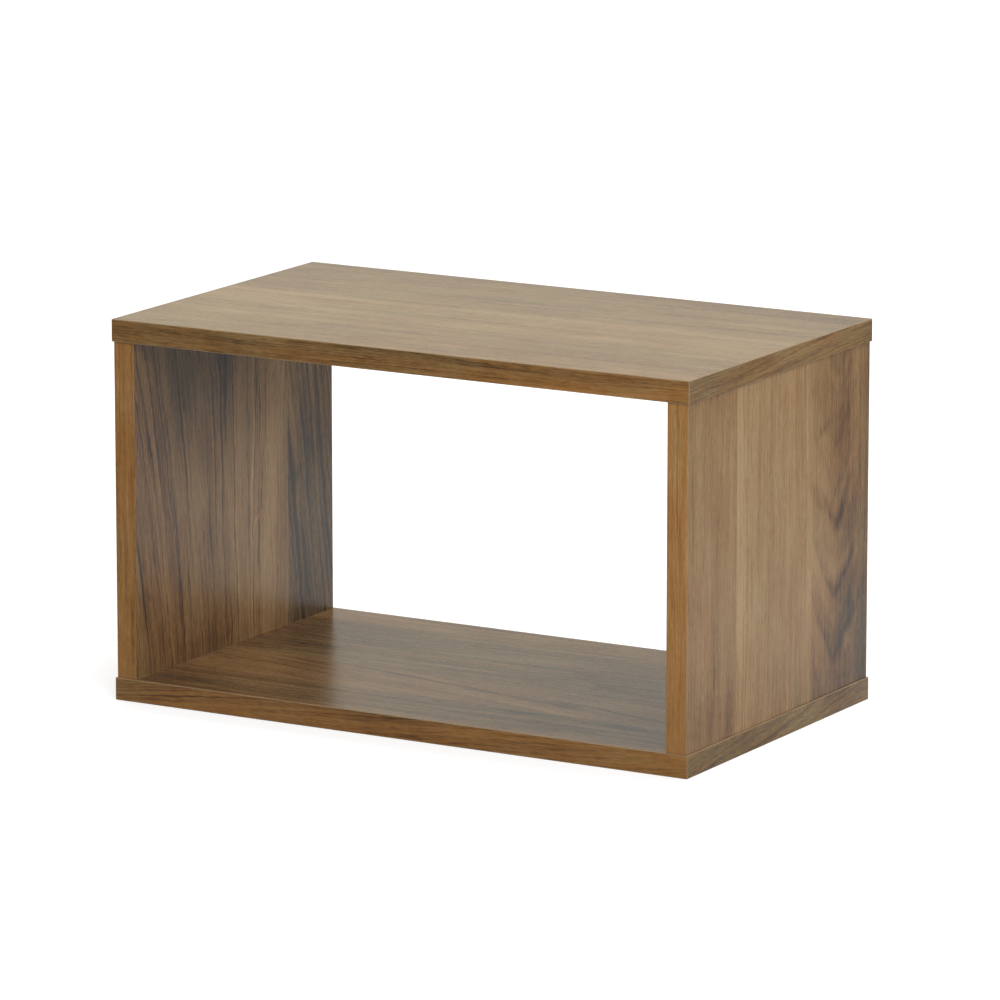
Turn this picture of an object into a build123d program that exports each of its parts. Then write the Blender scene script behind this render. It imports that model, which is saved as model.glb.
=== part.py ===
from build123d import *
import os

# Open storage cube in walnut-effect laminated board. A top and a base board take two sides between
# them, and the front and the back stay open. Each board is a particleboard core with a decor sheet
# pressed on both faces and edge bands glued over the sawn edges. Fluted dowels hold the joints.
# Millimetres: X runs along the width, Y from front to back, Z up, and the origin lies on the floor
# under the middle of the unit.

# Overall size
width = 600.0
depth = 350.0
height = 357.0

# Build-up of every board
core_thickness = 20.0
sheet_thickness = 0.5
band_thickness = 1.0
arris_radius = 0.6  # rounding that the trimmer leaves on the bands' outer edges
arris_share = 0.8  # most of a band's thickness that the rounding may take

# The sides stand back from the edges of the top and the base
side_setback = 1.5

# Dowels, and the bores that they are glued in
dowel_diameter = 8.0
dowel_length = 30.0
dowel_chamfer = 1.0
dowels_per_joint = 4
dowel_to_edge = 44.0  # from the side's front or rear edge to the nearest dowel's axis
flute_count = 12
flute_width = 0.9  # each wall of the V-shaped groove, before the dowel's round cuts it short
flute_turn = 45.0  # sets the groove's square cutter on its corner
glue_clearance = 0.1  # all round the dowel
glue_gap = 0.5  # beyond each end of the dowel
blind_wall = 8.0  # board left between a bore's end and the board's far face

# Sizes that follow
board_thickness = core_thickness + 2 * sheet_thickness
arris = min(arris_radius, arris_share * band_thickness)
side_height = height - 2 * board_thickness
side_depth = depth - 2 * side_setback
side_centre = width / 2 - side_setback - board_thickness / 2
side_top = height - board_thickness
dowel_pitch = (side_depth - 2 * dowel_to_edge) / (dowels_per_joint - 1)
bore_radius = dowel_diameter / 2 + glue_clearance
board_bore = board_thickness - blind_wall
side_bore = dowel_length + 2 * glue_gap - board_bore

# Where the boards meet: the face of the base that looks up, the face of the top that looks down
base_seat = Plane(origin=(0, 0, board_thickness), x_dir=(1, 0, 0), z_dir=(0, 0, 1))
top_seat = Plane(origin=(0, 0, side_top), x_dir=(1, 0, 0), z_dir=(0, 0, -1))

FRONT_AND_REAR = (("front", -1), ("rear", 1))
LEFT_AND_RIGHT = (("left", -1), ("right", 1))

os.makedirs("parts", exist_ok=True)


def save(piece, name):
    piece.part.label = name
    export_step(piece.part, f"parts/{name}.step")


def flat_board(name, underside, seat, seated_sheet):
    """A top or base board, bored from its seat through the sheet that the sides stand against."""
    core_level = underside + sheet_thickness
    upper_level = core_level + core_thickness
    layers = (
        ("lower_sheet", underside, sheet_thickness),
        ("core", core_level, core_thickness),
        ("upper_sheet", upper_level, sheet_thickness),
    )
    for layer, level, thickness in layers:
        with BuildPart() as slab:
            with BuildSketch(Plane.XY.offset(level)):
                Rectangle(width - 2 * band_thickness, depth - 2 * band_thickness)
            extrude(amount=thickness)
            if layer in ("core", seated_sheet):
                with Locations(seat):
                    with GridLocations(2 * side_centre, dowel_pitch, 2, dowels_per_joint):
                        Hole(bore_radius, board_bore)
        save(slab, f"{name}_{layer}")

    # The front and rear bands run the full width and are rounded round their ends as well
    for end, toward in FRONT_AND_REAR:
        with BuildPart() as band:
            with BuildSketch(Plane.XY.offset(underside)):
                with Locations((0, toward * (depth - band_thickness) / 2)):
                    Rectangle(width, band_thickness)
            extrude(amount=board_thickness)
            glued_face = band.faces().sort_by(Axis.Y, reverse=toward > 0)[-1]
            fillet(band.edges() - glued_face.edges(), arris)
        save(band, f"{name}_{end}_band")

    # The left and right bands butt between them
    for end, toward in LEFT_AND_RIGHT:
        with BuildPart() as band:
            with BuildSketch(Plane.XY.offset(underside)):
                with Locations((toward * (width - band_thickness) / 2, 0)):
                    Rectangle(band_thickness, depth - 2 * band_thickness)
            extrude(amount=board_thickness)
            outer_face = band.faces().sort_by(Axis.X, reverse=toward < 0)[-1]
            fillet(outer_face.edges().filter_by(Axis.Y), arris)
        save(band, f"{name}_{end}_band")


def side_board(name, outward):
    """A side, its ends bored for the dowels and left raw because the top and the base hide them."""
    outer_face = Plane(
        origin=(outward * (width / 2 - side_setback), 0, board_thickness),
        x_dir=(0, 0, 1),
        z_dir=(-outward, 0, 0),
    )
    layers = (
        ("outer_sheet", 0, sheet_thickness),
        ("core", sheet_thickness, core_thickness),
        ("inner_sheet", sheet_thickness + core_thickness, sheet_thickness),
    )
    upper_end = Plane(origin=(outward * side_centre, 0, side_top), x_dir=(1, 0, 0), z_dir=(0, 0, 1))
    lower_end = Plane(origin=(outward * side_centre, 0, board_thickness), x_dir=(1, 0, 0), z_dir=(0, 0, -1))
    for layer, start, thickness in layers:
        with BuildPart() as slab:
            with BuildSketch(outer_face.offset(start)):
                Rectangle(side_height, side_depth - 2 * band_thickness, align=(Align.MIN, Align.CENTER))
            extrude(amount=thickness)
            if layer == "core":
                with Locations(upper_end, lower_end):
                    with GridLocations(0, dowel_pitch, 1, dowels_per_joint):
                        Hole(bore_radius, side_bore)
        save(slab, f"{name}_{layer}")

    for end, toward in FRONT_AND_REAR:
        with BuildPart() as band:
            with BuildSketch(Plane.XY.offset(board_thickness)):
                with Locations((outward * side_centre, toward * (side_depth - band_thickness) / 2)):
                    Rectangle(board_thickness, band_thickness)
            extrude(amount=side_height)
            exposed_face = band.faces().sort_by(Axis.Y, reverse=toward < 0)[-1]
            fillet(exposed_face.edges().filter_by(Axis.Z), arris)
        save(band, f"{name}_{end}_band")


def dowel_row(name, outward, low_end):
    """The dowels of one joint, with their lower ends at the height low_end."""
    with BuildPart() as dowels:
        with Locations((outward * side_centre, 0, low_end)):
            with GridLocations(0, dowel_pitch, 1, dowels_per_joint):
                add(dowel.part)
    save(dowels, name)


# One dowel, standing on its lower end, with grooves pressed along it for the glue
with BuildPart() as dowel:
    with BuildSketch():
        Circle(dowel_diameter / 2)
    extrude(amount=dowel_length)
    chamfer(dowel.edges().filter_by(GeomType.CIRCLE), dowel_chamfer)
    with BuildSketch():
        with PolarLocations(dowel_diameter / 2, flute_count):
            Rectangle(flute_width, flute_width, rotation=flute_turn)
    extrude(amount=dowel_length, mode=Mode.SUBTRACT)

flat_board("base_board", 0, base_seat, "upper_sheet")
flat_board("top_board", side_top, top_seat, "lower_sheet")

for hand, outward in LEFT_AND_RIGHT:
    side_board(f"{hand}_side", outward)
    dowel_row(f"base_{hand}_dowels", outward, board_thickness - board_bore + glue_gap)
    dowel_row(f"top_{hand}_dowels", outward, side_top - side_bore + glue_gap)
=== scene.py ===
import math

import bmesh
import bpy
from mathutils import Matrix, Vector


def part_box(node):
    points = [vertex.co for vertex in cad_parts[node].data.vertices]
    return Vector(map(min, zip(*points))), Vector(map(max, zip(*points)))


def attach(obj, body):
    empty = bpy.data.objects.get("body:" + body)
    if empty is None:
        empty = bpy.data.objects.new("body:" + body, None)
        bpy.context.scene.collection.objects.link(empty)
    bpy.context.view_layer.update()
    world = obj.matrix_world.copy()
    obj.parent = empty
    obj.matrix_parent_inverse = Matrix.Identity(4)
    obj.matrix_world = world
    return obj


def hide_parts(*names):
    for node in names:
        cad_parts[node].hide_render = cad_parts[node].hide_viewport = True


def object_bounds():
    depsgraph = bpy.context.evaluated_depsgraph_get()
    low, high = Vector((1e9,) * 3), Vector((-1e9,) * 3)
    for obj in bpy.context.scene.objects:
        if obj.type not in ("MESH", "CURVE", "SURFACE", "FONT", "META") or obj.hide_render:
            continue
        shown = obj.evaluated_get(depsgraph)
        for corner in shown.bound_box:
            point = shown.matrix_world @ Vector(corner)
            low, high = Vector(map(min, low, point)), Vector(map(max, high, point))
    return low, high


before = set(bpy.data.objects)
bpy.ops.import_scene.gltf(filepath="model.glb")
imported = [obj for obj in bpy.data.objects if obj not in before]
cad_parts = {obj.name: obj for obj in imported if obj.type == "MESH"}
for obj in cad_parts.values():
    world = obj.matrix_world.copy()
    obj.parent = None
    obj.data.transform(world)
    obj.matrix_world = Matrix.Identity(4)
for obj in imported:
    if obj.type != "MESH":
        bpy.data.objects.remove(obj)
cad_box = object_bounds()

# Cores of the four boards: three-layer particleboard, coarse chips in the middle and fine flour at
# both faces, pressed with a pale resin. Each core is sawn to size, bored for the dowels at its joints
# and then hidden all round by its sheets, its edge bands and the board that it meets.

MM = 0.001
AXES = "XYZ"


class Value:
    """A socket of a node tree. Arithmetic on it adds the Math nodes that work the result out."""

    def __init__(self, tree, socket=None):
        self.tree = tree
        self.socket = socket

    def node(self, kind, settings, sockets, output=0):
        """Adds one node, with its settings first and then its sockets, and gives one of its outputs."""
        made = self.tree.nodes.new(kind)
        for name, setting in settings.items():
            if name == "stops":
                ramp = made.color_ramp.elements
                while len(ramp) < len(setting):
                    ramp.new(1.0)
                for stop, (position, colour) in zip(ramp, setting):
                    stop.position = position
                    stop.color = (*colour, 1.0)
            else:
                setattr(made, name, setting)
        for name, value in sockets.items():
            if isinstance(value, Value):
                self.tree.links.new(value.socket, made.inputs[name])
            else:
                made.inputs[name].default_value = value
        return Value(self.tree, made.outputs[output])

    def feeds(self, socket):
        self.tree.links.new(self.socket, socket)

    def maths(self, operation, first, second=0.0):
        return self.node("ShaderNodeMath", {"operation": operation}, {0: first, 1: second})

    def __add__(self, other):
        return self.maths("ADD", self, other)

    def __radd__(self, other):
        return self.maths("ADD", other, self)

    def __sub__(self, other):
        return self.maths("SUBTRACT", self, other)

    def __rsub__(self, other):
        return self.maths("SUBTRACT", other, self)

    def __mul__(self, other):
        return self.maths("MULTIPLY", self, other)

    def __rmul__(self, other):
        return self.maths("MULTIPLY", other, self)

    def __truediv__(self, other):
        return self.maths("DIVIDE", self, other)

    def __pow__(self, other):
        return self.maths("POWER", self, other)

    def __gt__(self, other):
        return self.maths("GREATER_THAN", self, other)

    def floor(self):
        return self.maths("FLOOR", self)

    def size(self):
        return self.maths("ABSOLUTE", self)

    def clipped(self):
        """The value, kept between 0 and 1."""
        return self.node("ShaderNodeClamp", {}, {"Value": self})

    def dying(self):
        """One at zero, dying away smoothly as the value grows."""
        return self.maths("EXPONENT", self * -1.0)

    def axis(self, name):
        return self.node("ShaderNodeSeparateXYZ", {}, {"Vector": self}, name)

    def noise(self, x, y, seed, detail=2.0, roughness=0.5):
        """Soft noise over the plane x, y, about one half."""
        spot = self.node("ShaderNodeCombineXYZ", {}, {"X": x, "Y": y, "Z": seed})
        sockets = {"Vector": spot, "Scale": 1.0, "Detail": detail, "Roughness": roughness}
        return self.node("ShaderNodeTexNoise", {}, sockets, "Fac")

    def swing(self, x, y, seed, detail=2.0, roughness=0.5):
        """The same noise, about zero."""
        return self.noise(x, y, seed, detail, roughness) - 0.5

    def tinted(self, stops):
        """The colour of a tone from 0 to 1, by stops of (tone, colour)."""
        return self.node("ShaderNodeValToRGB", {"stops": stops}, {"Fac": self}, "Color")

    def mixing(self, first, second, blend_type="MIX"):
        """The first colour where the value is 0, and the second, blended in, where it is 1. Inputs 6
        and 7 of a Mix node and its output 2 are its colours."""
        settings = {"data_type": "RGBA", "blend_type": blend_type}
        return self.node("ShaderNodeMix", settings, {"Factor": self, 6: first, 7: second}, 2)

    def embossed(self, depth, strength):
        """The normal of a surface that rises by the depth in metres for each step of one."""
        return self.node("ShaderNodeBump", {}, {"Strength": strength, "Distance": depth, "Height": self})


def new_finish(name):
    """A material, the place on the piece that it starts from, and its shader."""
    material = bpy.data.materials.new(name)
    material.use_nodes = True
    tree = material.node_tree
    place = Value(tree).node("ShaderNodeTexCoord", {}, {}, "Object")
    return material, place, tree.nodes["Principled BSDF"]


def particleboard():
    """Chips pressed at every angle, each with its own tone, dusted with flour and dark in the gaps."""
    chip_length = 5.0 * MM
    drift_length = 4 * chip_length
    flour_grain = 0.4 * MM
    chip_share = 0.6
    flour_share = 0.4
    gap_width = 0.12
    gap_shade = 1.5
    roughness = 0.8
    flour_rougher = 0.2
    chip_stops = [
        (0.0, (0.20, 0.13, 0.07)),
        (0.35, (0.36, 0.25, 0.14)),
        (0.7, (0.47, 0.34, 0.20)),
        (1.0, (0.58, 0.45, 0.29)),
    ]
    material, place, shader = new_finish("particleboard")
    drift = place.node("ShaderNodeTexNoise", {}, {"Vector": place, "Scale": 1 / drift_length}, "Color")
    turned = place.node(
        "ShaderNodeVectorMath",
        {"operation": "MULTIPLY_ADD"},
        {0: drift, 1: (chip_length, chip_length, chip_length), 2: place},
    )
    chips = {"Vector": turned, "Scale": 1 / chip_length, "Randomness": 1.0}
    tint = place.node("ShaderNodeTexVoronoi", {}, chips, "Color")
    shade = place.node("ShaderNodeSeparateColor", {}, {"Color": tint}, "Red")
    gaps = place.node("ShaderNodeTexVoronoi", {"feature": "DISTANCE_TO_EDGE"}, chips, "Distance")
    x, y, z = (place.axis(name) / flour_grain for name in AXES)
    flour = place.noise(x, y, z, detail=3.0)
    tone = (shade * chip_share + flour * flour_share - (gap_width - gaps) * gap_shade).clipped()
    tone.tinted(chip_stops).feeds(shader.inputs["Base Color"])
    (roughness + (flour - 0.5) * flour_rougher).feeds(shader.inputs["Roughness"])
    (flour + gaps).embossed(depth=0.2 * MM, strength=0.5).feeds(shader.inputs["Normal"])
    return material


def finish_node(name, material):
    """Gives a node of the frame its finish."""
    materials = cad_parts[name].data.materials
    materials.clear()
    materials.append(material)


core_finish = particleboard()
for board in ("base_board", "left_side", "right_side", "top_board"):
    finish_node(f"{board}_core", core_finish)

# Dowels: short beech pegs with pressed grooves that carry the glue, four to a joint. They stand with
# their grain upright, and the bores in the boards hide them.


def beech():
    """Straight fine grain with short darker flecks; widths and lengths are in millimetres."""
    grain_width = 0.6
    grain_length = 14.0
    fleck_width = 0.25
    fleck_length = 1.6
    fleck_shade = 0.5
    roughness = 0.62
    fleck_smoother = 0.2
    beech_stops = [
        (0.0, (0.36, 0.20, 0.10)),
        (0.5, (0.55, 0.36, 0.21)),
        (1.0, (0.66, 0.47, 0.30)),
    ]
    material, place, shader = new_finish("beech")
    x, y, z = (place.axis(name) / MM for name in AXES)
    grain = place.noise(x / grain_width, y / grain_width, z / grain_length, detail=3.0)
    flecks = place.swing(x / fleck_width, y / fleck_width, z / fleck_length, detail=1.0)
    tone = (grain + flecks * fleck_shade).clipped()
    tone.tinted(beech_stops).feeds(shader.inputs["Base Color"])
    (roughness - flecks * fleck_smoother).feeds(shader.inputs["Roughness"])
    grain.embossed(depth=0.05 * MM, strength=0.3).feeds(shader.inputs["Normal"])
    return material


dowel_finish = beech()
for joint in ("base_left", "base_right", "top_left", "top_right"):
    finish_node(f"{joint}_dowels", dowel_finish)

# Decor sheets: paper printed with planks of walnut, soaked in resin and pressed on both faces of each
# board with a satin plate. The planks run along the board, and each shows its own cut of the log:
# the yearly rings lie round a pith at some depth behind the face, so that a face near it shows arches.

WARM_WALNUT = [
    (0.0, (0.030, 0.013, 0.005)),
    (0.3, (0.150, 0.070, 0.023)),
    (0.5, (0.240, 0.126, 0.044)),
    (0.75, (0.325, 0.187, 0.076)),
    (1.0, (0.420, 0.270, 0.130)),
]
GREY_WALNUT = [
    (0.0, (0.024, 0.016, 0.008)),
    (0.3, (0.135, 0.084, 0.032)),
    (0.5, (0.212, 0.138, 0.053)),
    (0.75, (0.298, 0.204, 0.084)),
    (1.0, (0.392, 0.284, 0.140)),
]
SHEET_TINTS = (WARM_WALNUT, GREY_WALNUT)

# The satin face: its roughness and the index of its resin, what pores and fibres add to the
# roughness, and the relief that is pressed into it
SHEET_GLOSS = (0.28, 1.45)
PORE_ROUGHER = 0.10
FIBRE_ROUGHER = 0.08
FIBRE_HEIGHT = 0.6
PRINT_DEPTH = 0.04 * MM
PRINT_RELIEF = 0.25

# How the grain bends, in millimetres: the height where a fanning plank is as wide as it is written,
# and how far slow sways, small ruffles and the ends of marks go astray
FAN_LEVEL = 150.0
SWAY_REACH = 14.0
RUFFLE_REACH = 1.8
MARK_REACH = 30.0

# Rings crowd and thin out every so many millimetres, by so many years, and their lines come and go
YEARS_SPREAD = 28.0
YEARS_CROWDED = 3.0
LINE_FADING = 90.0

# How sharply hair lines and pores stand out, and how high a swing of the noise makes a pore
HAIR_SHARPNESS = 22.0
PORE_START = 0.10
PORE_SHARPNESS = 8.0

# How far each form of the figure darkens or lightens the wood, and how far it greys it
SHADE = {"clouds": 0.36, "mottle": 0.10, "fibres": 0.46, "flecks": 0.44, "pores": 0.15}
GREYING = {"clouds": 1.3, "zones": -0.9, "veins": 0.8}

# Arches: how steep their legs are, how round their tops, how far they are torn along the grain and how
# patchily they are printed
ARCH_RISE = 1.3
ARCH_ROUND = 6.0
ARCH_TEAR = 26.0
ARCH_COVER = 0.9
ARCH_PATCHES = 2.4

# Added to a plank's own number, so that these two don't follow its other forms
VEIN_SEED = 3.0
TEAR_SEED = 5.0


def plank(start, tone, grey, seed, **cut):
    """One plank of the print: where it starts across the sheet, its tone from dark 0 to light 1, how
    grey it is and the number that varies it. The cut says where the pith lies across and how deep
    behind the face, the taper that turns rings into arches, how the grain leans, fans out or wavers,
    how wide the rings are, with how dark and how thin their lines, how dark and how far apart the hair
    lines are, and how strong the zones and the streaks."""
    straight = {
        "pith": 900.0,
        "depth": 10.0,
        "taper": 0.0,
        "lean": 0.0,
        "fan": 0.0,
        "fan_at": 0.0,
        "waver": 4.0,
        "ring": 9.0,
        "lines": 0.35,
        "line_power": 24.0,
        "hairs": 0.06,
        "hair_gap": 6.0,
        "zones": 0.5,
        "streaks": 0.42,
    }
    return {"start": start, "tone": tone, "grey": grey, "seed": seed, **straight, **cut}


def walnut_print(
    name, grain, cross, planks, marks=(), arches=(), contrast=1.0, tints=SHEET_TINTS, gloss=SHEET_GLOSS
):
    """A print of walnut planks. grain and cross are (axis, the place of zero on it in metres); lengths
    in planks and marks are millimetres from there. Each mark is a smudge or a streak that follows the
    grain, of the print itself or of painted light or shade: (along, across), (half length, half width),
    how much lighter and how much greyer. Each arch is a yearly ring cut near the pith: (along, across)
    of its apex, half its thickness, how far its legs reach, how it tilts and how much lighter it is."""
    material, place, shader = new_finish(name)
    along = (place.axis(grain[0]) - grain[1]) / MM
    across = (place.axis(cross[0]) - cross[1]) / MM
    beyond = [across > later["start"] for later in planks[1:]]

    def of_plank(key):
        """What the plank at this place has; the planks follow each other across the sheet."""
        level = planks[0][key]
        for earlier, later, mask in zip(planks, planks[1:], beyond):
            if later[key] != earlier[key]:
                level = level + mask * (later[key] - earlier[key])
        return level

    seed = of_plank("seed")

    def patches(length, width, detail=2.0, number=seed):
        """Soft patches about zero, so long and so wide in millimetres."""
        return place.swing(along / length, across / width, number, detail)

    def drawn_out(side, width, length, detail=2.0, roughness=0.5, number=seed):
        """Soft forms about zero, drawn out along the grain; side is the distance across that they keep."""
        return place.swing(side / width, along / length, number, detail, roughness)

    # The distance from the pith follows each year's ring, bent by slow sways and finer ruffles
    sway = patches(length=230.0, width=55.0)
    waver = patches(length=48.0, width=15.0)
    ruffle = patches(length=13.0, width=4.0, detail=1.0)
    fan_at = of_plank("fan_at")
    fanned = (across - fan_at) * (1.0 - (along - FAN_LEVEL) * of_plank("fan")) + fan_at
    leaning = fanned + along * of_plank("lean")
    bent = leaning + sway * SWAY_REACH + waver * of_plank("waver") + ruffle * RUFFLE_REACH
    from_pith = bent - of_plank("pith")
    depth = of_plank("depth")
    radius = (from_pith * from_pith + depth * depth) ** 0.5 + along * of_plank("taper")

    # Each year ends in a thin line of dense wood, darker in some years than in others
    crowding = place.noise(radius / YEARS_SPREAD, seed, seed, detail=1.0)
    ring = radius / of_plank("ring") + crowding * YEARS_CROWDED
    year = (ring + 0.5).floor()
    off_line = 2.0 * (ring - year)
    thin_line = (1.0 - off_line * off_line) ** of_plank("line_power")
    year_spot = place.node("ShaderNodeCombineXYZ", {}, {"X": year, "Y": seed})
    white_noise = {"noise_dimensions": "2D"}
    vigour = place.node("ShaderNodeTexWhiteNoise", white_noise, {"Vector": year_spot}, "Value")
    fading = place.noise(along / LINE_FADING, year, seed, detail=1.0)
    lines = thin_line * vigour * vigour * fading * of_plank("lines")

    hair_swing = drawn_out(bent, width=of_plank("hair_gap"), length=320.0, roughness=0.6)
    hairs = (1.0 - hair_swing.size() * HAIR_SHARPNESS).clipped() * of_plank("hairs")

    zones = drawn_out(radius, width=15.0, length=380.0, roughness=0.55)
    streaks = drawn_out(bent, width=4.2, length=260.0, detail=4.0, roughness=0.65)
    veins = drawn_out(bent, width=7.0, length=200.0, number=seed + VEIN_SEED)
    flecks = drawn_out(across, width=1.2, length=10.0)
    fibres = drawn_out(across, width=0.9, length=38.0, detail=3.0, roughness=0.65)
    pore_swing = drawn_out(across, width=0.6, length=7.0, detail=1.0)
    pores = ((pore_swing - PORE_START) * PORE_SHARPNESS).clipped()
    clouds = patches(length=75.0, width=30.0)
    mottle = patches(length=9.0, width=12.0, detail=1.0)

    change = zones * of_plank("zones") + streaks * of_plank("streaks")
    change = change + clouds * SHADE["clouds"] + mottle * SHADE["mottle"]
    change = change + fibres * SHADE["fibres"] + flecks * SHADE["flecks"]
    change = change - lines - hairs - pores * SHADE["pores"]
    greyness = clouds * GREYING["clouds"] + zones * GREYING["zones"] + veins * GREYING["veins"]
    greyness = greyness * contrast + of_plank("grey")
    if arches:
        cover = (patches(length=20.0, width=20.0) * ARCH_PATCHES + ARCH_COVER).clipped()
        torn = along + patches(length=34.0, width=22.0, number=seed + TEAR_SEED) * ARCH_TEAR
    for (apex_along, apex_across), half_thickness, reach, tilt, lighter in arches:
        aside = bent - apex_across
        legs = (aside * aside * ARCH_RISE ** 2 + ARCH_ROUND ** 2) ** 0.5 - ARCH_ROUND + aside * tilt
        off_ring = (torn - apex_along - legs) / half_thickness
        off_apex = (along - apex_along) / reach
        change = change + (off_ring * off_ring + off_apex * off_apex).dying() * cover * lighter
    for (mark_along, mark_across), (half_length, half_width), lighter, greyer in marks:
        off_along = (along + waver * MARK_REACH - mark_along) / half_length
        off_across = (bent - mark_across) / half_width
        smudge = (off_along * off_along + off_across * off_across).dying()
        change = change + smudge * lighter
        if greyer:
            greyness = greyness + smudge * greyer

    tone = (change * contrast + of_plank("tone")).clipped()
    warm, grey = (tone.tinted(stops) for stops in tints)
    greyness.clipped().mixing(warm, grey).feeds(shader.inputs["Base Color"])
    roughness, index = gloss
    (roughness + pores * PORE_ROUGHER + fibres * FIBRE_ROUGHER).feeds(shader.inputs["Roughness"])
    shader.inputs["IOR"].default_value = index
    relief = fibres * FIBRE_HEIGHT - pores
    relief.embossed(PRINT_DEPTH, PRINT_RELIEF).feeds(shader.inputs["Normal"])
    return material


# Sheets of the two sides: the same printed paper, pressed on with its planks upright. The right side's
# outer face has a plank with arches that point down, between straighter ones, and the left side's
# inner face a grain that leans and fans out.

side_low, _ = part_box("right_side_core")
upright = ("Z", side_low.z)
from_front = ("Y", side_low.y)

right_outer_planks = [
    plank(0, 0.66, 0.05, 3.1, zones=0.28, streaks=0.54, lines=0.25, hairs=0.1),
    plank(90, 0.83, 0.08, 11.7, zones=0.34, streaks=0.66, lines=0.3, hairs=0.12),
    plank(235, 0.72, 0.05, 27.3, pith=282, depth=9, taper=-0.58, ring=15, waver=7, lines=0.1, zones=0.34),
    plank(325, 0.56, 0.30, 35.9, lines=0.3),
]
# Darker at the foot, partly painted shade near the floor and partly the print's dark figure; darker
# along the rear edge and over the arched plank, with light streaks between
right_outer_marks_and_painted_shade = [
    ((20, 78), (55, 6), -0.22, 0.2),
    ((15, 42), (40, 5), -0.12, 0.2),
    # Darker at the foot: partly painted shade near the floor, partly the print's dark figure
    ((10, 25), (50, 40), -0.10, 0.1),
    ((0, 260), (80, 130), -0.33, 0.0),
    ((20, 340), (80, 16), -0.14, 0.2),
    ((175, 346), (260, 13), -0.10, 0.2),
    ((300, 280), (60, 40), -0.20, 0.0),
    ((90, 50), (40, 12), -0.05, 0.3),
    ((150, 98), (190, 7), 0.08, 0.0),
    ((110, 152), (120, 8), -0.09, 0.0),
    ((170, 204), (170, 10), 0.05, 0.0),
    ((150, 234), (110, 8), 0.08, 0.1),
    ((150, 302), (230, 34), -0.28, 0.1),
    ((287, 235), (9, 1.6), -0.24, 0.0),
    ((251, 257), (4, 12), -0.20, 0.4),
    ((115, 285), (13, 15), 0.14, -0.1),
    ((80, 306), (36, 15), -0.20, 0.5),
    ((42, 303), (10, 7), 0.24, -0.2),
    ((24, 291), (11, 4), 0.16, -0.2),
    ((270, 311), (70, 12), 0.02, -0.6),
    ((275, 336), (70, 14), 0.08, 0.0),
    ((168, 298), (28, 22), -0.10, 0.1),
    ((110, 170), (40, 24), -0.07, 0.0),
    ((30, 25), (34, 28), -0.06, 0.1),
    ((250, 90), (80, 36), 0.05, 0.0),
]
right_outer_arches = [
    ((160, 286), 9.0, 40, 0.4, -0.29),
    ((180, 272), 5.0, 26, 0.4, -0.13),
    ((110, 281), 6.0, 32, -0.2, 0.14),
    ((94, 280), 4.4, 44, -0.2, -0.20),
    ((36, 281), 7.0, 48, -0.2, -0.22),
]
finish_node(
    "right_side_outer_sheet",
    walnut_print(
        "right_outer_walnut", upright, from_front, right_outer_planks, right_outer_marks_and_painted_shade, right_outer_arches
    ),
)

left_inner_planks = [
    plank(0, 0.49, 0.35, 41.2, fan=0.0011, fan_at=205, waver=9, lines=0.75, hairs=0.14, streaks=0.66),
    plank(265, 0.30, 0.55, 52.8, lean=0.14, waver=9, lines=0.75, hairs=0.14, streaks=0.66),
]
# Thin dark veins; a darker top, painted shade under the top board; a darker, redder foot, painted shade
# near the floor; and a pale stretch behind the middle with an eye in it, partly print and partly painted
# light from behind
left_inner_marks_and_painted_light = [
    ((225, 47), (90, 1.4), -0.42, 0.2),
    ((90, 63), (100, 1.4), -0.42, 0.2),
    ((205, 91), (100, 1.6), -0.38, 0.2),
    # Darker top: painted shade under the top board
    ((268, 99), (55, 13), -0.28, 0.4),
    ((278, 150), (45, 24), -0.19, 0.3),
    ((240, 50), (90, 50), -0.11, 0.2),
    ((240, 76), (60, 22), -0.08, 0.1),
    ((262, 178), (40, 20), -0.08, 0.0),
    ((85, 125), (45, 25), -0.07, 0.1),
    ((265, 310), (70, 40), 0.07, 0.1),
    ((115, 325), (60, 36), -0.04, 0.2),
    ((20, 320), (60, 40), -0.12, 0.1),
    ((120, 36), (110, 24), 0.03, -0.5),
    ((90, 81), (35, 1.2), -0.28, 0.0),
    ((120, 125), (50, 1.2), -0.30, 0.0),
    ((230, 137), (70, 1.4), -0.36, 0.2),
    ((210, 151), (80, 1.6), -0.40, 0.2),
    ((235, 160), (60, 2.2), -0.44, 0.2),
    ((245, 209), (45, 1.4), -0.34, 0.0),
    ((220, 224), (50, 1.6), -0.30, 0.0),
    ((145, 218), (25, 1.8), -0.32, 0.0),
    ((100, 212), (26, 1.8), -0.36, 0.0),
    ((113, 210), (3.0, 3.2), 0.36, 0.0),
    ((120, 203), (180, 1.6), 0.20, -0.2),
    ((150, 16), (220, 18), -0.07, -0.4),
    # Pale stretch: partly the print's light plank, partly painted light from behind
    ((110, 186), (170, 22), 0.22, -0.1),
    ((110, 236), (170, 22), 0.30, -0.1),
    # Darker, redder foot: painted shade near the floor
    ((0, 100), (40, 80), -0.22, -0.5),
    ((143, 295), (14, 8), -0.26, 0.3),
    ((70, 304), (60, 2.0), -0.34, 0.2),
    ((160, 318), (90, 1.6), -0.36, 0.2),
    ((130, 348), (120, 2.0), -0.36, 0.2),
]
finish_node(
    "left_side_inner_sheet",
    walnut_print("left_inner_walnut", upright, from_front, left_inner_planks, left_inner_marks_and_painted_light),
)

arched = {"ring": 12, "waver": 8, "lines": 0.6, "line_power": 18}
right_inner_planks = [
    plank(0, 0.50, 0.20, 61.4, lean=-0.03),
    plank(118, 0.46, 0.40, 72.9, pith=176, depth=14, taper=0.35, **arched),
    plank(246, 0.53, 0.20, 83.6, lean=0.02),
]
finish_node(
    "right_side_inner_sheet",
    walnut_print("right_inner_walnut", upright, from_front, right_inner_planks),
)

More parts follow.
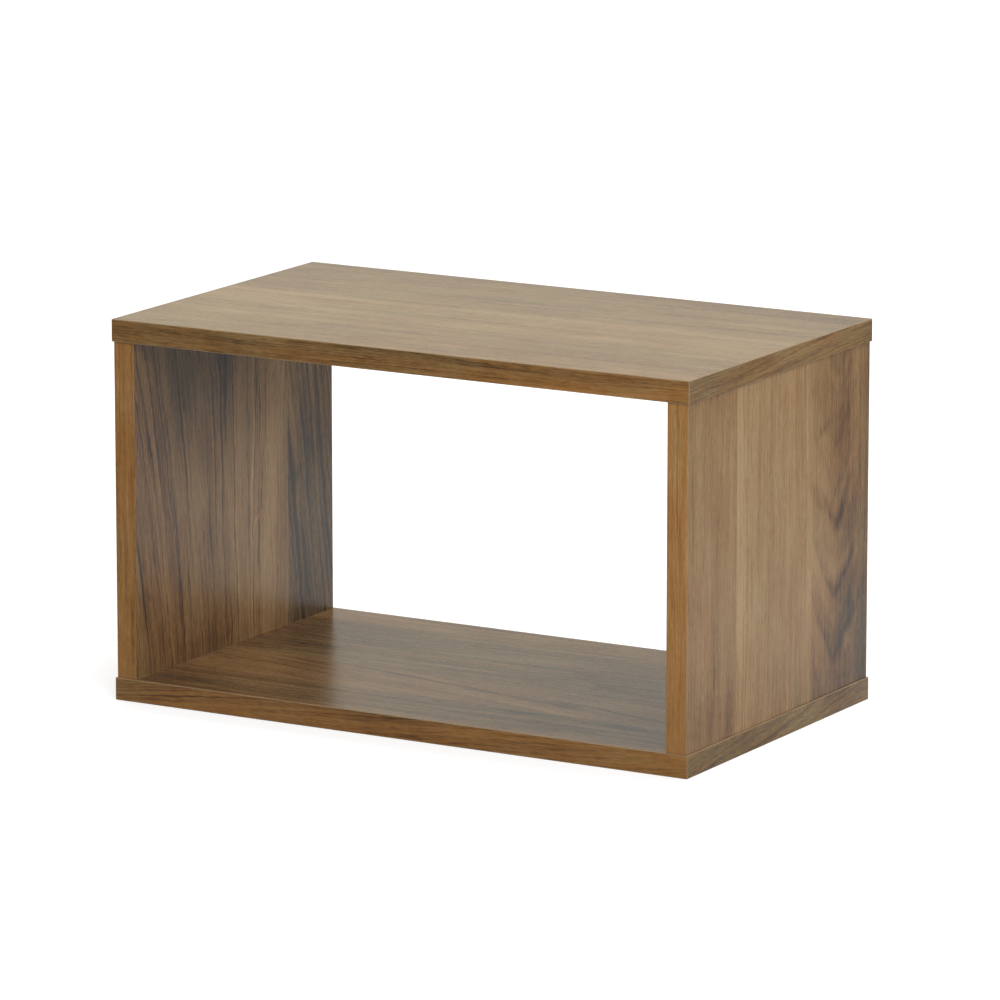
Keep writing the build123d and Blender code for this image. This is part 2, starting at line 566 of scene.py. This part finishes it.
left_outer_planks = [
    plank(0, 0.52, 0.20, 94.5, pith=52, depth=14, taper=-0.32, **arched),
    plank(104, 0.47, 0.45, 105.3, lean=0.02),
    plank(228, 0.54, 0.15, 116.8, lean=-0.03),
]
finish_node(
    "left_side_outer_sheet",
    walnut_print("left_outer_walnut", upright, from_front, left_outer_planks),
)

# Sheets of the top and the base: the same printed paper, pressed on with its planks along the width.
# The top's upper face is the most even of them. The base's upper face has a dark streaked plank in
# front, and a thinner coat of resin that mirrors less.

unit_low, unit_high = cad_box
_, left_inner_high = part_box("left_side_inner_sheet")
lengthwise = ("X", unit_low.x)
inside_length = ("X", left_inner_high.x)
board_front = ("Y", unit_low.y)

top_upper_planks = [
    plank(0, 0.57, 0.65, 7.7, lean=0.02, lines=0.3),
    plank(112, 0.60, 0.60, 18.4, lean=-0.01, lines=0.3),
    plank(216, 0.50, 0.70, 29.6, lean=-0.02, lines=0.3),
]
# Lighter towards the left end, darker in front to the right and along the rear
top_upper_marks = [
    ((120, 195), (160, 9), 0.10, 0.0),
    ((60, 95), (90, 6), 0.08, 0.0),
    ((420, 55), (190, 50), -0.11, -0.5),
    ((40, 150), (130, 90), 0.10, 0.0),
    ((330, 335), (330, 26), -0.06, 0.0),
    ((575, 315), (80, 40), -0.09, -0.2),
]
finish_node(
    "top_board_upper_sheet",
    walnut_print(
        "top_upper_walnut", lengthwise, board_front, top_upper_planks, top_upper_marks, contrast=0.95
    ),
)

BASE_GLOSS = (0.26, 1.34)
calm = {"zones": 0.34, "streaks": 0.6, "lines": 0.42, "line_power": 18}
base_upper_planks = [
    plank(0, 0.34, 0.50, 38.3, lean=0.01, **calm),
    plank(78, 0.42, 0.25, 49.1, lean=0.18, waver=7, ring=14, **calm),
    plank(155, 0.38, 0.60, 57.5, lean=-0.02, **calm),
    plank(310, 0.47, 0.45, 66.2, lean=0.02, **calm),
]
# A redder left end with painted shade next to the left side, dark veins and flecks along the front
# plank, and a few pale streaks behind
base_upper_marks_and_painted_shade = [
    ((80, 60), (110, 6), -0.22, 0.0),
    ((0, 175), (115, 260), 0.03, -0.6),
    # Darker at the left end next to the left side: painted shade
    ((50, 245), (70, 50), -0.10, 0.0),
    ((170, 140), (110, 120), 0.06, 0.1),
    ((40, 20), (130, 24), -0.12, -0.1),
    # Darker at the left end next to the left side: painted shade
    ((30, 24), (60, 24), -0.09, 0.3),
    ((30, 205), (60, 28), -0.09, 0.3),
    ((60, 110), (90, 30), 0.04, -0.3),
    ((400, 72), (200, 6), -0.12, 0.3),
    ((350, 46), (170, 1.8), -0.22, 0.0),
    ((330, 64), (140, 2.4), -0.16, 0.0),
    ((480, 70), (26, 7), -0.45, 0.3),
    ((370, 76), (26, 5), -0.32, 0.3),
    ((470, 52), (90, 2.6), -0.30, 0.2),
    ((500, 34), (70, 3), -0.26, 0.2),
    ((240, 187), (40, 3), 0.18, -0.2),
    ((390, 185), (16, 9), -0.22, -0.2),
    ((455, 192), (50, 2.6), -0.24, -0.2),
    ((400, 210), (90, 40), -0.10, 0.1),
    ((142, 322), (22, 6), 0.16, 0.0),
    ((60, 330), (90, 24), 0.08, 0.0),
]
finish_node(
    "base_board_upper_sheet",
    walnut_print(
        "base_upper_walnut",
        inside_length,
        board_front,
        base_upper_planks,
        base_upper_marks_and_painted_shade,
        gloss=BASE_GLOSS,
    ),
)

broad_arched = {"ring": 13, "waver": 10, "line_power": 14}
top_lower_planks = [
    plank(0, 0.51, 0.25, 77.9, pith=46, depth=16, taper=0.2, **broad_arched),
    plank(96, 0.47, 0.45, 88.8, lean=0.01),
    plank(228, 0.53, 0.20, 99.4, lean=-0.02),
]
finish_node(
    "top_board_lower_sheet",
    walnut_print("top_lower_walnut", lengthwise, board_front, top_lower_planks),
)

base_lower_planks = [
    plank(0, 0.48, 0.40, 13.9, lean=0.01),
    plank(122, 0.52, 0.20, 24.2, pith=184, depth=16, taper=-0.2, **broad_arched),
    plank(246, 0.49, 0.35, 33.1, lean=-0.02),
]
finish_node(
    "base_board_lower_sheet",
    walnut_print("base_lower_walnut", lengthwise, board_front, base_lower_planks),
)

# Edge bands: plastic strip a millimetre thick with a walnut print along it, glued over the sawn edges
# with hot-melt, trimmed flush with the sheets and rounded along its outer edges by a small cutter. The
# front and rear bands of the top and the base run the full width and are rounded round their ends too.

ARRIS = 0.6 * MM
ARRIS_STEPS = 5
ROUND_PROFILE = 0.5
SHARP_TURN = math.radians(40.0)  # an edge that turns further is shaded sharp
FLAT_FACE = 0.999  # a face that looks less straight along an axis belongs to the arris
ORANGE_WALNUT = [
    (0.0, (0.040, 0.015, 0.004)),
    (0.3, (0.165, 0.071, 0.016)),
    (0.5, (0.262, 0.120, 0.029)),
    (0.75, (0.350, 0.167, 0.047)),
    (1.0, (0.440, 0.240, 0.090)),
]
BAND_TINTS = (ORANGE_WALNUT, GREY_WALNUT)
BAND_GLOSS = (0.32, 1.42)


def cut_plastic():
    """The strip's own dyed plastic, where the cutter has taken the print off its edge. The sizes of
    its uneven patches and of the cutter's scrapes are in millimetres."""
    patch_size = 40.0
    scrape_size = 1.5
    plain_tone = 0.5
    patch_shade = 0.9
    scrape_shade = 0.6
    roughness = 0.62
    scrape_rougher = 0.3
    index = 1.32
    cut_stops = [
        (0.0, (0.19, 0.125, 0.066)),
        (0.5, (0.31, 0.216, 0.122)),
        (1.0, (0.43, 0.315, 0.195)),
    ]
    material, place, shader = new_finish("cut_band_plastic")
    x, y, z = (place.axis(name) / MM for name in AXES)
    patches = place.swing(x / patch_size, y / patch_size, z / patch_size)
    scrapes = place.swing(x / scrape_size, y / scrape_size, z / scrape_size, detail=3.0)
    tone = (plain_tone + patches * patch_shade + scrapes * scrape_shade).clipped()
    tone.tinted(cut_stops).feeds(shader.inputs["Base Color"])
    (roughness + scrapes * scrape_rougher).feeds(shader.inputs["Roughness"])
    shader.inputs["IOR"].default_value = index
    scrapes.embossed(depth=0.02 * MM, strength=0.3).feeds(shader.inputs["Normal"])
    return material


def band_axes(node):
    """The axes through a band, across its face and along it, which its box tells from thin to long."""
    low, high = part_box(node)
    return sorted(AXES, key=lambda axis: high[AXES.index(axis)] - low[AXES.index(axis)])


def edge_band(node):
    """A band in the place of its node, with one finish on its flat faces and another on its arris."""
    low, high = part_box(node)
    through, _, along = band_axes(node)
    thin = AXES.index(through)
    # The frame's origin lies under the middle of the unit, so a band looks away from it
    outward = Vector()
    outward[thin] = math.copysign(1.0, low[thin] + high[thin])
    strip = bmesh.new()
    bmesh.ops.create_cube(strip, size=1.0)
    for corner in strip.verts:
        corner.co = Vector((low[i] + (corner.co[i] + 0.5) * (high[i] - low[i]) for i in range(3)))
    strip.normal_update()
    glued_face = min(strip.faces, key=lambda face: face.normal.dot(outward))
    outer_face = max(strip.faces, key=lambda face: face.normal.dot(outward))
    if along == "X":
        glued_edges = set(glued_face.edges)
        rounded = [edge for edge in strip.edges if edge not in glued_edges]
    else:
        short_edges_first = sorted(outer_face.edges, key=lambda edge: edge.calc_length())
        rounded = short_edges_first[2:]
    bmesh.ops.bevel(
        strip, geom=rounded, offset=ARRIS, segments=ARRIS_STEPS, profile=ROUND_PROFILE, affect="EDGES"
    )
    strip.normal_update()
    for face in strip.faces:
        face.smooth = True
        face.material_index = int(max(abs(part) for part in face.normal) < FLAT_FACE)
    for edge in strip.edges:
        edge.smooth = edge.calc_face_angle(0.0) < SHARP_TURN
    mesh = bpy.data.meshes.new(node)
    strip.to_mesh(mesh)
    strip.free()
    piece = bpy.data.objects.new(f"{node}_strip", mesh)
    bpy.context.scene.collection.objects.link(piece)
    shading = piece.modifiers.new("even_shading", "WEIGHTED_NORMAL")
    shading.keep_sharp = True
    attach(piece, "root")
    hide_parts(node)
    return piece


fine_grain = {
    "ring": 5.0,
    "waver": 2.0,
    "lines": 0.2,
    "line_power": 12.0,
    "hairs": 0.26,
    "hair_gap": 2.4,
    "streaks": 0.6,
}

# Each band's print: its tone, how grey it is, the number that varies it and how its grain leans
bands = {
    "top_board_front_band": (0.52, 0.32, 2.3, 0.004),
    "top_board_rear_band": (0.42, 0.1, 12.6, 0.006),
    "top_board_left_band": (0.43, 0.1, 22.4, 0.01),
    "top_board_right_band": (0.52, 0.65, 32.8, -0.06),
    "base_board_front_band": (0.52, 0.08, 42.5, -0.07),
    "base_board_rear_band": (0.42, 0.1, 52.1, 0.01),
    "base_board_left_band": (0.42, 0.2, 62.7, 0.02),
    "base_board_right_band": (0.42, 0.8, 72.2, -0.15),
    "left_side_front_band": (0.70, 0.0, 82.9, 0.004),
    "left_side_rear_band": (0.47, 0.1, 92.3, 0.004),
    "right_side_front_band": (0.77, -0.1, 102.6, 0.006),
    "right_side_rear_band": (0.50, 0.1, 112.4, 0.006),
}
band_marks = {
    "top_board_front_band": [
        ((220, 11), (240, 2.5), -0.12, 0.0),
        ((470, 17), (140, 3), -0.10, 0.0),
        ((500, 4), (90, 3), 0.12, 0.0),
    ],
}
# Bands whose arris takes the darker band print instead of the pale cut plastic: painted shade on that arris
painted_shade_arrises = ("left_side_front_band",)

cut_edge = cut_plastic()
for node, (tone, grey, seed, lean) in bands.items():
    band_low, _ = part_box(node)
    _, cross_axis, grain_axis = band_axes(node)
    band_print = walnut_print(
        node.replace("_band", "_edge_walnut"),
        (grain_axis, band_low[AXES.index(grain_axis)]),
        (cross_axis, band_low[AXES.index(cross_axis)]),
        [plank(0, tone, grey, seed, lean=lean, **fine_grain)],
        band_marks.get(node, ()),
        tints=BAND_TINTS,
        gloss=BAND_GLOSS,
    )
    piece = edge_band(node)
    piece.data.materials.append(band_print)
    # An arris in painted shade keeps the darker band print
    piece.data.materials.append(band_print if node in painted_shade_arrises else cut_edge)

# Floor: a wide sheet of white studio paper, laid flat under the unit. A glow of its own lifts it to
# white for the camera and keeps the unit's soft shadow, and the unit's gloss mirrors a pool of light
# on the paper behind it. Lengths are in metres.

FLOOR_HALF = 14.0
FLOOR_DROP = 0.2 * MM

# How white the paper is, and how white it is where gloss mirrors it
PAPER_WHITE = 0.60
PAPER_MIRRORED = 0.24

# The glow that the camera sees, in front of the unit and then behind it or far off, and where it grows
SEEN_GLOW = (0.42, 0.70)
SEEN_HALF = 2.0
SEEN_NEAR = 1.0
SEEN_FAR = 3.0

# The pool of light that gloss mirrors: its glow, how far behind it lies, and half its width and depth
POOL_GLOW = 0.88
POOL_BEHIND = 0.55
POOL_HALF = (0.85, 0.65)

floor_mesh = bpy.data.meshes.new("floor")
corners = [(x * FLOOR_HALF, y * FLOOR_HALF, -FLOOR_DROP) for x, y in ((-1, -1), (1, -1), (1, 1), (-1, 1))]
floor_mesh.from_pydata(corners, [], [(0, 1, 2, 3)])
floor = bpy.data.objects.new("floor", floor_mesh)
bpy.context.scene.collection.objects.link(floor)


def rays(value):
    """Masks for what the camera sees straight or through glass, and for what gloss mirrors."""
    camera, clear, glossy = (
        value.node("ShaderNodeLightPath", {}, {}, f"Is {kind} Ray")
        for kind in ("Camera", "Transmission", "Glossy")
    )
    return (camera + clear).clipped(), glossy


paper, paper_place, paper_shader = new_finish("white_paper")
paper_shader.inputs["Roughness"].default_value = 1.0
paper_shader.inputs["Specular IOR Level"].default_value = 0.0
paper_shader.inputs["Emission Strength"].default_value = 1.0
seen, mirrored = rays(paper_place)
floor_x = paper_place.axis("X")
floor_y = paper_place.axis("Y")
backness = (floor_y / (2 * SEEN_HALF) + 0.5).clipped()
away = (floor_x * floor_x + floor_y * floor_y) ** 0.5
farness = ((away - SEEN_NEAR) / (SEEN_FAR - SEEN_NEAR)).clipped()
seen_glow = (backness + farness).clipped() * (SEEN_GLOW[1] - SEEN_GLOW[0]) + SEEN_GLOW[0]
pool_aside = floor_x / POOL_HALF[0]
pool_behind = (floor_y - POOL_BEHIND) / POOL_HALF[1]
pool_glow = (pool_aside * pool_aside + pool_behind * pool_behind).dying() * POOL_GLOW
(seen * seen_glow + mirrored * pool_glow).feeds(paper_shader.inputs["Emission Color"])
(PAPER_WHITE + mirrored * (PAPER_MIRRORED - PAPER_WHITE)).feeds(paper_shader.inputs["Base Color"])
floor_mesh.materials.append(paper)

# Studio: a pale room with a soft box in front to the right, one behind, one overhead and one to the
# left. The camera sees the room white. The unit's gloss mirrors cream walls that are dim on the
# camera's side and towards the ceiling.

# The room's light and its reflection, each on the camera's side and then behind the unit, and how fast
# the one turns into the other
ROOM_LIGHT = (0.25, 0.90)
ROOM_MIRRORED = (0.35, 0.78)
ROOM_SLOPE = 0.8

# The tint of the mirrored walls, the share of it that is left overhead and how fast it falls to that
WALL_CREAM = (1.0, 1.0, 0.925, 1.0)
CEILING_MIRRORED = 0.25
CEILING_SLOPE = 1.3

world = bpy.data.worlds.new("studio")
world.use_nodes = True
bpy.context.scene.world = world
room = Value(world.node_tree)
way = room.node("ShaderNodeTexCoord", {}, {}, "Generated")
seen, mirrored = rays(room)
backness = (way.axis("Y") * ROOM_SLOPE + 0.5).clipped()
light = backness * (ROOM_LIGHT[1] - ROOM_LIGHT[0]) + ROOM_LIGHT[0]
walls = backness * (ROOM_MIRRORED[1] - ROOM_MIRRORED[0]) + ROOM_MIRRORED[0]
ceiling = ((way.axis("Z") - 1.0) * CEILING_SLOPE + 1.0).clipped()
reflection = walls * (1.0 - ceiling * (1.0 - CEILING_MIRRORED))
level = seen + mirrored * reflection + (1.0 - (seen + mirrored).clipped()) * light
room_colour = mirrored.mixing(level, WALL_CREAM, "MULTIPLY")
room_colour.feeds(world.node_tree.nodes["Background"].inputs["Color"])


def aimed(name, data, aim, azimuth, elevation, distance):
    """A lamp or camera that looks at a point of the unit from so many degrees round and up. Degrees
    round are counted from the front towards the right."""
    turn, lift = math.radians(azimuth), math.radians(elevation)
    back = Vector((math.sin(turn) * math.cos(lift), -math.cos(turn) * math.cos(lift), math.sin(lift)))
    thing = bpy.data.objects.new(name, data)
    thing.location = aim + back * distance
    thing.rotation_mode = "QUATERNION"
    thing.rotation_quaternion = (-back).to_track_quat("-Z", "Y")
    bpy.context.scene.collection.objects.link(thing)
    return thing


def soft_box(name, azimuth, elevation, distance, size, power, mirrored):
    """A square lamp with soft shadows, aimed at the middle of the unit, whose gloss may mirror it."""
    data = bpy.data.lights.new(name, "AREA")
    data.shape = "SQUARE"
    data.size = size
    data.energy = power
    lamp = aimed(name, data, (unit_low + unit_high) / 2, azimuth, elevation, distance)
    lamp.visible_glossy = mirrored


soft_box("key_soft_box", azimuth=30.0, elevation=40.0, distance=2.4, size=1.4, power=30.0, mirrored=True)
soft_box("rear_soft_box", azimuth=150.0, elevation=26.0, distance=2.6, size=1.6, power=29.0, mirrored=False)
soft_box("top_soft_box", azimuth=0.0, elevation=88.0, distance=1.8, size=0.9, power=7.5, mirrored=True)
soft_box("left_soft_box", azimuth=-90.0, elevation=6.0, distance=2.6, size=1.6, power=14.0, mirrored=False)

# Camera: a long lens well back from the unit, round to its right and a little above it. The lens and
# the sensor are in millimetres, and the rest in metres and degrees.

CAMERA_AZIMUTH = 30.0637
CAMERA_ELEVATION = 11.9042
CAMERA_DISTANCE = 6.3572
CAMERA_AIM = Vector((0.008443, 0.0, 0.188815))
CAMERA_LENS = 249.644
CAMERA_SENSOR = 36.0
CAMERA_FAR = 60.0

camera_data = bpy.data.cameras.new("camera")
camera_data.sensor_width = CAMERA_SENSOR
camera_data.lens = CAMERA_LENS
camera_data.clip_end = CAMERA_FAR
camera = aimed("camera", camera_data, CAMERA_AIM, CAMERA_AZIMUTH, CAMERA_ELEVATION, CAMERA_DISTANCE)
bpy.context.scene.camera = camera
bpy.context.scene.view_settings.view_transform = "Standard"
